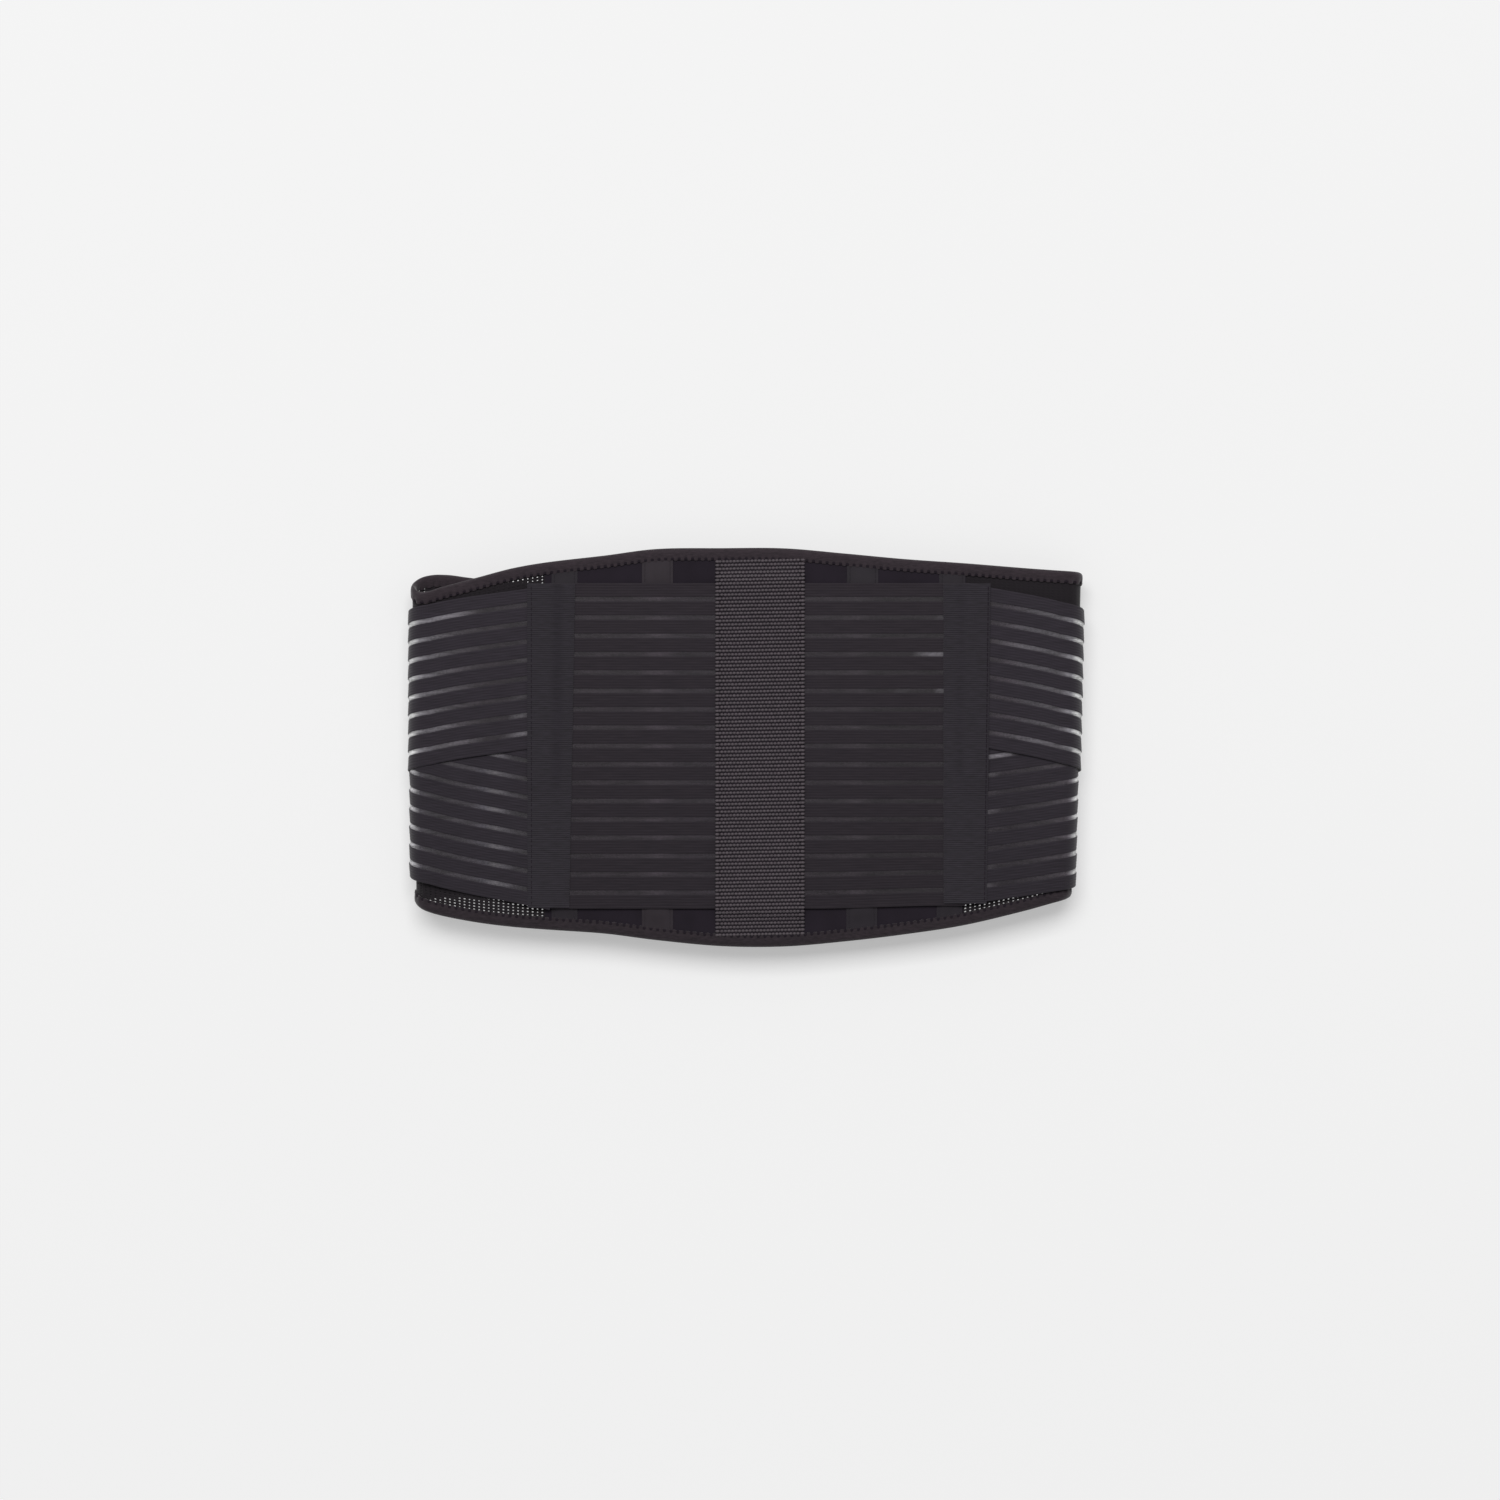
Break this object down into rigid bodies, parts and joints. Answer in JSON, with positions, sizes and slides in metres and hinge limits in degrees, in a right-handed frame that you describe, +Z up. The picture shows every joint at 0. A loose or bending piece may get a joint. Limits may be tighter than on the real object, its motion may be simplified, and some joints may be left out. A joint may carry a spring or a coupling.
{
  "type": "abdominal support belt",
  "caption": "Wide black lumbar support belt lying as a closed, flattened loop, with a padded back panel, netted sides, windowed elastic pull straps and a woven centre strip.",
  "frame": {"origin": "middle of the belt's box, on the floor it lies on", "axes": "+X along the belt's width, to the wearer's right of the picture, +Y towards its upper edge, +Z up, out of the back panel's face"},
  "size_m": [0.3951, 0.232, 0.0303],
  "materials": {
    "foam_fabric": "matt knitted cover",
    "net": "matt warp-knitted net",
    "loop_pile": "short brushed pile",
    "channel_tape": "matt woven tape",
    "binding_tape": "soft knitted binding",
    "elastic": "ribbed woven elastic",
    "coarse_webbing": "coarse woven polyester with a soft sheen",
    "ribbed_tape": "grosgrain ribs"
  },
  "bodies": {
    "root": {"back_panel": "foam_fabric", "side_mesh_left": "net", "side_mesh_right": "net", "front_flap_left": "loop_pile", "front_flap_right": "loop_pile", "stay_channel_left_outer": "channel_tape", "stay_channel_left_inner": "channel_tape", "stay_channel_right_inner": "channel_tape", "stay_channel_right_outer": "channel_tape", "edge_binding": "binding_tape", "back_elastic": "elastic", "upper_strap_left": "elastic", "lower_strap_left": "elastic", "upper_strap_right": "elastic", "lower_strap_right": "elastic", "centre_webbing": "coarse_webbing", "cover_tape_left": "ribbed_tape", "cover_tape_right": "ribbed_tape", "strap_tab_left": "loop_pile", "strap_tab_right": "loop_pile"}
  },
  "joints": []
}
